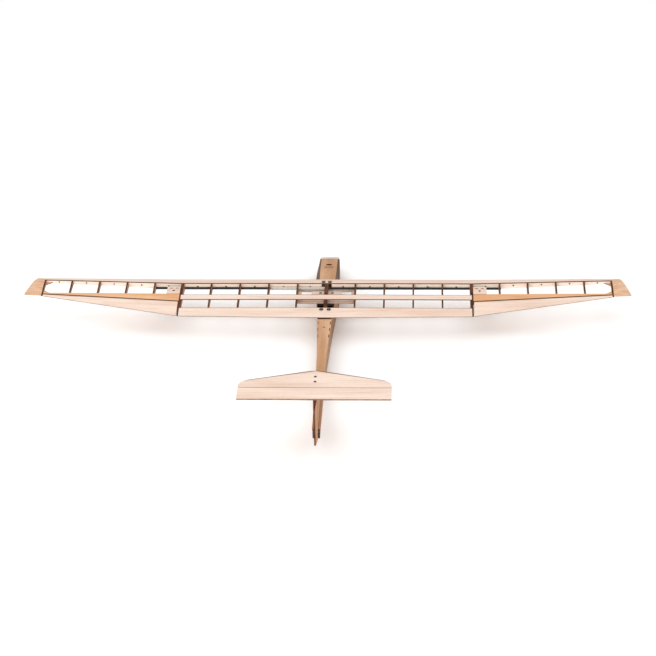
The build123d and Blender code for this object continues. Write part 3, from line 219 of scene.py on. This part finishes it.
def woodMaterial(
        name, look, grain, flat, burn=1.0, roughness=0.72, shiftBy=0.0, fleckWeight=0.35,
        rim=None, lines=None, marks=None):
    material, tree, shader = newMaterial(name, roughness, 0.28)
    along = "XYZ".index(grain)

    def stretched(runs, across):
        scale = [across] * 3
        scale[along] = runs
        return objectPoint(tree, scale, shift=(shiftBy, shiftBy * 0.7, shiftBy * 1.3))

    plank = noise(tree, stretched(2.5, 34), 2.0, 0.5)          # tone that changes from plank to plank
    streak = noise(tree, stretched(9, 420), 4.0, 0.6, 0.4)      # grain lines
    pore = noise(tree, stretched(70, 1900), 2.0, 0.6)           # short open pores
    wander = noise(tree, objectPoint(tree, (60, 60, 60)), 3.0, 0.6)
    base = ramp(tree, plank, (0.34, tone(look["warm"])), (0.62, tone(look["pale"])))
    grainLines = ramp(tree, streak, (0.30, 1.0), (0.52, 0.0))
    base = blendColours(tree, sums(tree, "MULTIPLY", grainLines, 0.42), base, tone(look["streak"]))
    dots = ramp(tree, pore, (0.30, 1.0), (0.40, 0.0))
    base = blendColours(tree, sums(tree, "MULTIPLY", dots, fleckWeight), base, tone(look["fleck"]))
    if burn:
        edge = edgeMask(tree, flat)
        char = ramp(tree, wander, (0.35, tone(look["soot"])), (0.6, tone(look["burnt"])))
        base = blendColours(tree, sums(tree, "MULTIPLY", edge, burn), base, char)
    drawn = [leadingRim(tree, *rim)] if rim else []
    drawn += [edgeLines(tree, *lines)] if lines else []
    drawn += [hatchMarks(tree, *marks)] if marks else []
    for line in drawn:
        base = blendColours(tree, sums(tree, "MULTIPLY", line, 0.8), base, tone(look["burnt"]))
    tree.links.new(base, shader.inputs["Base Color"])
    bump(tree, shader, sums(tree, "ADD", sums(tree, "MULTIPLY", streak, 0.7), pore), 0.35, 0.00025)
    return material


def speckledTip(name):
    # solid tip blocks, sanded end grain with fine dark specks
    material, tree, shader = newMaterial(name, 0.7, 0.3)
    cloud = noise(tree, objectPoint(tree, (16, 45, 45)), 4.0, 0.6)
    speck = noise(tree, objectPoint(tree, (420, 900, 900)), 2.0, 0.7)
    streak = noise(tree, objectPoint(tree, (20, 320, 320)), 3.0, 0.6, 0.5)
    base = ramp(tree, cloud, (0.35, tone("#c99d7c")), (0.62, tone("#dfbb9b")))
    streaks = sums(tree, "MULTIPLY", ramp(tree, streak, (0.36, 1.0), (0.52, 0.0)), 0.4)
    base = blendColours(tree, streaks, base, tone("#b07c58"))
    specks = sums(tree, "MULTIPLY", ramp(tree, speck, (0.34, 1.0), (0.42, 0.0)), 0.7)
    base = blendColours(tree, specks, base, tone("#7c4f33"))
    tree.links.new(base, shader.inputs["Base Color"])
    bump(tree, shader, speck, 0.4, 0.0003)
    return material


# tubes, metal and mouldings

def carbonMaterial(name):
    # pulled tube: fine fibres along the span under a thin gloss
    material, tree, shader = newMaterial(name, 0.5, 0.3)
    fibre = noise(tree, objectPoint(tree, (14, 2600, 2600)), 3.0, 0.7)
    feed(tree, shader, "Base Color", fibre, (0.3, tone("#060607")), (0.7, tone("#161719")))
    feed(tree, shader, "Roughness", fibre, (0.2, 0.4), (0.8, 0.65))
    bump(tree, shader, fibre, 0.25, 0.0001)
    return material


def fibreTubeMaterial(name):
    # grey glass-fibre joiner sleeve with a criss-cross of strands
    material, tree, shader = newMaterial(name, 0.4, 0.45)
    weave = noise(tree, objectPoint(tree, (260, 1500, 1500), turn=(0, 0, 0.7)), 2.0, 0.6)
    cross = noise(tree, objectPoint(tree, (260, 1500, 1500), turn=(0, 0, -0.7)), 2.0, 0.6)
    mixed = sums(tree, "MULTIPLY", sums(tree, "ADD", weave, cross), 0.5)
    feed(tree, shader, "Base Color", mixed, (0.38, tone("#8f8c86")), (0.6, tone("#c9c5bc")))
    feed(tree, shader, "Roughness", mixed, (0.3, 0.3), (0.7, 0.55))
    bump(tree, shader, mixed, 0.3, 0.0001)
    return material


def metalMaterial(name, dark, light, roughness, grainScale=900.0, metal=0.9):
    material, tree, shader = newMaterial(name, roughness, 0.5, metal)
    cloud = noise(tree, objectPoint(tree, (grainScale,) * 3), 3.0, 0.6)
    wear = noise(tree, objectPoint(tree, (180, 180, 180)), 4.0, 0.65)
    base = ramp(tree, wear, (0.35, tone(dark)), (0.7, tone(light)))
    tree.links.new(base, shader.inputs["Base Color"])
    feed(tree, shader, "Roughness", cloud, (0.25, max(roughness - 0.12, 0.08)), (0.75, roughness + 0.14))
    bump(tree, shader, cloud, 0.15, 0.00006)
    return material


def mouldingMaterial(name, dark, light, roughness, gloss=0.45, grainScale=1500.0):
    # moulded plastic with a fine eggshell surface and slightly uneven tone
    material, tree, shader = newMaterial(name, roughness, gloss)
    shell = noise(tree, objectPoint(tree, (grainScale,) * 3), 2.0, 0.5)
    haze = noise(tree, objectPoint(tree, (90, 90, 90)), 3.0, 0.55)
    feed(tree, shader, "Base Color", haze, (0.3, tone(dark)), (0.7, tone(light)))
    feed(tree, shader, "Roughness", shell, (0.25, roughness - 0.08), (0.75, roughness + 0.1))
    bump(tree, shader, shell, 0.12, 0.00008)
    return material


def shrinkWrapMaterial(name):
    # heat-shrunk film over the cells, with long soft creases
    material, tree, shader = newMaterial(name, 0.28, 0.5)
    crease = noise(tree, objectPoint(tree, (70, 18, 70)), 3.0, 0.5, 1.2)
    feed(tree, shader, "Base Color", crease, (0.3, tone("#1c3350")), (0.7, tone("#2c4c74")))
    feed(tree, shader, "Roughness", crease, (0.3, 0.2), (0.7, 0.36))
    shader.inputs["Coat Weight"].default_value = 0.4
    bump(tree, shader, crease, 0.5, 0.0012)
    return material


# one finish for every node of the frame

lineWidth = 0.0016  # burnt lines beside the sheets, in metres
stabLook = {"sweep": 0.25, "rimWidth": 0.0022}
lidReach = 0.03  # how far back from the front of the lid its width is read
endReach = 0.01  # the same for the two ends of an aileron
aileronRimWidth = 0.0024
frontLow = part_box("front_sheeting")[0]
stripLow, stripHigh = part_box("mid_strips")
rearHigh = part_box("trailing_edges")[1]
lidLow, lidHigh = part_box("hatch_lid")
lidFront = max(abs(v.co.x) for v in nodes["hatch_lid"].data.vertices if v.co.y > lidHigh.y - lidReach)
aileronPoints = [v.co for v in nodes["aileron_right"].data.vertices]
rootX = min(p.x for p in aileronPoints)
tipX = max(p.x for p in aileronPoints)
rootFront = max(p.y for p in aileronPoints if p.x < rootX + endReach)
tipFront = max(p.y for p in aileronPoints if p.x > tipX - endReach)
aileronSweep = -(tipFront - rootFront) / (tipX - rootX)
aileronRim = (rootFront + aileronSweep * rootX, aileronSweep, aileronRimWidth)

finishes = {
    "sheetBalsa": woodMaterial("sheetBalsa", balsaLook, "X", "Z", 0.85),
    "frontBalsa": woodMaterial(
        "frontBalsa", balsaLook, "X", "Z", 1.0, shiftBy=0.4, lines=([frontLow.y], lineWidth)),
    "stripBalsa": woodMaterial(
        "stripBalsa", balsaLook, "X", "Z", 1.0, shiftBy=0.8, lines=([stripLow.y, stripHigh.y], lineWidth)),
    "rearBalsa": woodMaterial(
        "rearBalsa", balsaLook, "X", "Z", 1.0, shiftBy=1.2, lines=([rearHigh.y], lineWidth)),
    "aileronBalsa": woodMaterial("aileronBalsa", balsaLook, "X", "Z", 0.9, shiftBy=1.6, rim=aileronRim),
    # hatch rails: burnt wood darkened further with painted shade
    "shoulderShadeAndBurnWood": woodMaterial("shoulderShadeAndBurnWood", shoulderShadeAndBurnLook, "Y", "Z", 0.5, shiftBy=2.6),
    "edgeBalsa": woodMaterial("edgeBalsa", balsaLook, "X", "Z", 0.0, shiftBy=3.1),
    # spar webs: balsa made paler as painted light
    "brightenedWebBalsa": woodMaterial("brightenedWebBalsa", brightenedWebLook, "X", "Y", 0.9, shiftBy=5.3),
    "tailBalsa": woodMaterial("tailBalsa", balsaLook, "X", "Z", 0.8, shiftBy=8.7),
    "stabBalsa": woodMaterial(
        "stabBalsa", balsaLook, "X", "Z", 0.35, shiftBy=8.2,
        rim=(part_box("stabilizer")[1].y, stabLook["sweep"], stabLook["rimWidth"])),
    "bodyBalsa": woodMaterial("bodyBalsa", balsaLook, "Y", "Z", 0.0, shiftBy=6.4),
    "barBalsa": woodMaterial("barBalsa", balsaLook, "X", "Z", 0.6, shiftBy=9.9),
    "ribWood": woodMaterial("ribWood", ribLook, "Y", "X", 1.0, 0.8, shiftBy=1.7),
    "limeSpar": woodMaterial("limeSpar", limeLook, "X", "Z", 1.0, shiftBy=4.4),
    "gussetWood": woodMaterial("gussetWood", limeLook, "Y", "Z", 1.0, shiftBy=7.3),
    "tipWood": speckledTip("tipWood"),
    "rudderWood": woodMaterial("rudderWood", rudderLook, "Z", "X", 1.0, shiftBy=3.6),
    # fuselage sides: ply darkened as painted shade
    "shadeDarkenedSidePly": woodMaterial("shadeDarkenedSidePly", shadeDarkenedSideLook, "Y", "X", 1.0, 0.66, shiftBy=2.9, fleckWeight=0.5),
    "deckPly": woodMaterial("deckPly", plyLook, "Y", "Z", 1.0, 0.66, shiftBy=5.9, fleckWeight=0.5),
    "formerPly": woodMaterial("formerPly", plyLook, "X", "Y", 1.0, 0.66, shiftBy=8.1, fleckWeight=0.5),
    "hatchPly": woodMaterial(
        "hatchPly", plyLook, "Y", "Z", 1.0, 0.62, shiftBy=0.9, fleckWeight=0.6,
        marks=(lidHigh.y, lidLow.y, lidFront, lidHigh.x, 0.0018)),
    "blackRing": mouldingMaterial("blackRing", "#0a0a0b", "#171718", 0.6, 0.25),
    "brightHead": metalMaterial("brightHead", "#77787a", "#b4b5b6", 0.4),
    "carbonTube": carbonMaterial("carbonTube"),
    "glassTube": fibreTubeMaterial("glassTube"),
    "blackBolt": metalMaterial("blackBolt", "#131314", "#2b2b2d", 0.42, metal=0.6),
    "leadWeight": metalMaterial("leadWeight", "#55585c", "#7d8085", 0.55, 500.0, 0.85),
    "springWire": metalMaterial("springWire", "#8d8f92", "#c7c8ca", 0.28, 1400.0),
    "hornNylon": mouldingMaterial("hornNylon", "#262524", "#3a3836", 0.48),
    "servoArmNylon": mouldingMaterial("servoArmNylon", "#d9d6cc", "#f0eee6", 0.42),
    "servoCase": mouldingMaterial("servoCase", "#24354e", "#30476a", 0.4),
    "receiverCase": mouldingMaterial("receiverCase", "#20221f", "#33362f", 0.45),
    "batteryFilm": shrinkWrapMaterial("batteryFilm"),
}

nodeFinish = {
    "front_sheeting": "frontBalsa", "mid_strips": "stripBalsa", "trailing_edges": "rearBalsa",
    "wing_plates": "sheetBalsa", "leading_edges": "edgeBalsa", "spar_webs": "brightenedWebBalsa",
    "aileron_left": "aileronBalsa", "aileron_right": "aileronBalsa",
    "aileron_spars": "limeSpar", "tip_gussets": "gussetWood", "wing_tips": "tipWood",
    "inner_ribs_left": "ribWood", "inner_ribs_right": "ribWood", "outer_ribs_left": "ribWood",
    "outer_ribs_right": "ribWood", "root_ribs": "ribWood",
    "elevator": "tailBalsa", "stabilizer": "stabBalsa", "stabilizer_mount": "deckPly",
    "fin_frame": "rudderWood", "fin_skins": "rudderWood", "rudder": "rudderWood",
    "nose_block": "bodyBalsa", "hatch_battens": "barBalsa", "hatch_catches": "barBalsa",
    "hatch_rails": "shoulderShadeAndBurnWood",
    "bolt_pads": "deckPly", "fuselage_bottom": "deckPly", "fuselage_deck": "deckPly",
    "wing_seat_plates": "deckPly", "rudder_servo_tray": "deckPly", "hatch_lid": "hatchPly",
    "fuselage_side_left": "shadeDarkenedSidePly", "fuselage_side_right": "shadeDarkenedSidePly", "formers": "formerPly",
    "spar_tubes": "carbonTube", "joiner_sleeve": "glassTube", "nose_ballast": "leadWeight",
    "stabilizer_screws": "blackBolt", "wing_bolts": "blackBolt", "wing_bolt_nuts": "blackBolt",
    "aileron_pushrod_left": "springWire", "aileron_pushrod_right": "springWire",
    "elevator_pushrod": "springWire", "rudder_pushrod": "springWire", "rudder_rod_guides": "hornNylon",
    "aileron_fittings_left": "hornNylon", "aileron_fittings_right": "hornNylon",
    "elevator_fittings": "hornNylon", "rudder_fittings": "hornNylon", "hinge_leaves_fixed": "hornNylon",
    "aileron_servo_arm_left": "servoArmNylon", "aileron_servo_arm_right": "servoArmNylon",
    "elevator_servo_arm": "servoArmNylon", "rudder_servo_arm": "servoArmNylon",
    "aileron_servos": "servoCase", "fin_servo": "servoCase", "rudder_servo": "servoCase",
    "receiver": "receiverCase", "battery": "batteryFilm",
}

for name, node in nodes.items():
    finish = finishes[nodeFinish[name]]
    if not node.data.materials:
        node.data.materials.append(finish)
    for materialSlot in node.material_slots:
        materialSlot.material = finish
print("finishes given to", len(nodes), "nodes")


# screws and bolts, each a washer, a domed head with a hex socket, and a shank

boltLook = {
    "washerRadius": 0.005, "washerHole": 0.0024, "washerHeight": 0.0008,
    "headRadius": 0.0025, "headHeight": 0.0024, "socket": 0.0015, "socketDepth": 0.0014, "shank": 0.002,
}
screwLook = {
    "washerRadius": 0.0031, "washerHole": 0.002, "washerHeight": 0.0004,
    "headRadius": 0.0013, "headHeight": 0.0011, "socket": 0.0009, "socketDepth": 0.0007, "shank": 0.0011,
}


shankDrop = 0.00002  # keeps the shank's top just under its head


def clusterBoxes(node, split):
    # low and high corners of each separate fastener of a node, sorted apart by split
    groups = {}
    for vertex in nodes[node].data.vertices:
        groups.setdefault(split(vertex.co), []).append(vertex.co)
    return [
        (Vector(map(min, zip(*spots))), Vector(map(max, zip(*spots))))
        for _, spots in sorted(groups.items())]


def softenEdges(shape, edges, offset, segments):
    bmesh.ops.bevel(
        shape, geom=edges, offset=offset, segments=segments, profile=0.5, affect="EDGES", material=-1)


def addWasher(shape, centre, look):
    outer = bmesh.ops.create_circle(shape, cap_ends=False, segments=40, radius=look["washerRadius"])["verts"]
    ring = bmesh.ops.create_circle(shape, cap_ends=False, segments=40, radius=look["washerHole"])["verts"]
    edges = [e for e in shape.edges if all(v in outer or v in ring for v in e.verts)]
    faces = bmesh.ops.bridge_loops(shape, edges=edges)["faces"]
    raised = bmesh.ops.extrude_face_region(shape, geom=faces)["geom"]
    top = [g for g in raised if isinstance(g, bmesh.types.BMVert)]
    bmesh.ops.translate(shape, verts=top, vec=(0, 0, look["washerHeight"]))
    rims = [e for e in shape.edges if all(v in top for v in e.verts) and e.calc_face_angle(0) > 1.0]
    softenEdges(shape, rims, look["washerHeight"] * 0.3, 2)
    bmesh.ops.translate(shape, verts=shape.verts[:], vec=centre)


def addHead(shape, centre, look, bottom):
    height = look["headHeight"]
    bmesh.ops.create_cone(
        shape, cap_ends=True, segments=48, depth=height,
        radius1=look["headRadius"], radius2=look["headRadius"] * 0.93)
    bmesh.ops.translate(shape, verts=shape.verts[:], vec=(0, 0, height / 2))
    crown = max(shape.faces, key=lambda f: f.calc_center_median().z)
    softenEdges(shape, list(crown.edges), height * 0.3, 4)
    crown = max(shape.faces, key=lambda f: (round(f.calc_center_median().z, 6), f.calc_area()))
    bmesh.ops.inset_region(shape, faces=[crown], thickness=look["headRadius"] * 0.3, use_even_offset=True)
    crown = max((f for f in shape.faces if len(f.verts) > 8), key=lambda f: f.calc_center_median().z)
    for vertex in crown.verts:  # the inner ring becomes the hex socket
        angle = vertex.co.to_2d().angle_signed(Vector((1, 0)), 0.0)
        reach = look["socket"] / cos((angle + pi / 6) % (pi / 3) - pi / 6)
        vertex.co.x, vertex.co.y = reach * cos(angle), reach * sin(angle)
    well = bmesh.ops.extrude_face_region(shape, geom=[crown])["geom"]
    sunk = [g for g in well if isinstance(g, bmesh.types.BMVert)]
    bmesh.ops.translate(shape, verts=sunk, vec=(0, 0, -look["socketDepth"]))
    bmesh.ops.delete(shape, geom=[crown], context="FACES_ONLY")
    bmesh.ops.translate(shape, verts=shape.verts[:], vec=centre)
    length = centre[2] - bottom
    shank = bmesh.ops.create_cone(
        shape, cap_ends=True, segments=24, depth=length,
        radius1=look["shank"] * 0.8, radius2=look["shank"])["verts"]
    middle = bottom + length / 2 - shankDrop
    bmesh.ops.translate(shape, verts=shank, vec=(centre[0], centre[1], middle))


def fastenerPiece(name, build, places, finish):
    mesh = bpy.data.meshes.new(name)
    whole = bmesh.new()
    for place in places:
        one = bmesh.new()
        build(one, place)
        spare = bpy.data.meshes.new("spareFastener")
        one.to_mesh(spare)
        one.free()
        whole.from_mesh(spare)
        bpy.data.meshes.remove(spare)
    bmesh.ops.recalc_face_normals(whole, faces=whole.faces[:])
    for face in whole.faces:
        face.smooth = len(face.verts) == 4
    for edge in whole.edges:
        edge.smooth = edge.calc_face_angle(0) < 0.6
    whole.to_mesh(mesh)
    whole.free()
    piece = bpy.data.objects.new(name, mesh)
    bpy.context.scene.collection.objects.link(piece)
    mesh.materials.append(finishes[finish])
    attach(piece, "airframe")
    return piece


def fitFasteners(node, split, look, title):
    seats = []
    for low, high in clusterBoxes(node, split):
        stack = look["washerHeight"] + look["headHeight"]
        seats.append(((low.x + high.x) / 2, (low.y + high.y) / 2, high.z - stack, low.z))
    rings = fastenerPiece(
        title + "Washers", lambda shape, at: addWasher(shape, at[:3], look), seats, "blackRing")
    heads = fastenerPiece(
        title + "Heads",
        lambda shape, at: addHead(shape, (at[0], at[1], at[2] + look["washerHeight"] * 0.6), look, at[3]),
        seats, "brightHead")
    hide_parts(node)
    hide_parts(node)


wingMiddle = (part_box("wing_bolts")[0].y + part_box("wing_bolts")[1].y) / 2
screwMiddle = (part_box("stabilizer_screws")[0].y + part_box("stabilizer_screws")[1].y) / 2
fitFasteners("wing_bolts", lambda spot: (spot.x > 0, spot.y > wingMiddle), boltLook, "wingBolt")
fitFasteners("stabilizer_screws", lambda spot: (spot.y > screwMiddle,), screwLook, "stabScrew")
print("wing bolts and stabilizer screws made")


# floor, light and camera

stageLook = {"floorSize": 60.0, "floorPale": "#ffffff", "floorCool": "#fbfbfb"}


def layFloor():
    mesh = bpy.data.meshes.new("paleFloor")
    shape = bmesh.new()
    bmesh.ops.create_grid(shape, x_segments=1, y_segments=1, size=stageLook["floorSize"] / 2)
    shape.to_mesh(mesh)
    shape.free()
    floor = bpy.data.objects.new("paleFloor", mesh)
    bpy.context.scene.collection.objects.link(floor)
    material, tree, shader = newMaterial("paleFloorPaper", 0.95, 0.1)
    cloud = noise(tree, objectPoint(tree, (1.5, 1.5, 1.5)), 2.0)
    cool, pale = tone(stageLook["floorCool"]), tone(stageLook["floorPale"])
    feed(tree, shader, "Base Color", cloud, (0.3, cool), (0.7, pale))
    mesh.materials.append(material)
    return floor


def softLight(name, place, aim, size, power):
    lamp = bpy.data.lights.new(name, "AREA")
    lamp.shape = "RECTANGLE"
    lamp.size, lamp.size_y = size
    lamp.energy = power
    holder = bpy.data.objects.new(name, lamp)
    holder.location = place
    holder.rotation_euler = (Vector(aim) - Vector(place)).to_track_quat("-Z", "Y").to_euler()
    bpy.context.scene.collection.objects.link(holder)
    return holder


cameraLook = {
    "place": (0.2325, -4.0045, 2.5656), "focal": 104.5, "sensor": 36.0,
    "right": (0.99891, 0.04101, -0.02226), "up": (-0.00267, 0.52652, 0.85015),
    "ahead": (-0.04659, 0.84916, -0.52606), "clip": 100.0,
}


def setCamera():
    lens = bpy.data.cameras.new("studioCamera")
    lens.lens = cameraLook["focal"]
    lens.sensor_width = cameraLook["sensor"]
    lens.clip_end = cameraLook["clip"]
    camera = bpy.data.objects.new("studioCamera", lens)
    right, up, ahead = (Vector(cameraLook[k]) for k in ("right", "up", "ahead"))
    turn = Matrix((right, up, -ahead)).transposed().to_quaternion()
    camera.rotation_euler = turn.to_euler()
    camera.location = cameraLook["place"]
    bpy.context.scene.collection.objects.link(camera)
    bpy.context.scene.camera = camera


panels = {
    "overheadPanel": {"place": (0.0, 0.4, 3.4), "aim": (0, 0, 0), "size": (6.0, 5.0), "power": 74},
    "frontPanel": {"place": (-0.9, -3.6, 1.7), "aim": (0, 0, 0.1), "size": (3.6, 1.6), "power": 95},
}
airStrength = 0.7

layFloor()
for panelName, panel in panels.items():
    softLight(panelName, **panel)
setCamera()

world = bpy.data.worlds.new("studioAir")
world.use_nodes = True
world.node_tree.nodes["Background"].inputs["Color"].default_value = (1, 1, 1, 1)
world.node_tree.nodes["Background"].inputs["Strength"].default_value = airStrength
bpy.context.scene.world = world
bpy.context.scene.view_settings.view_transform = "Standard"
print("floor, light and camera set")
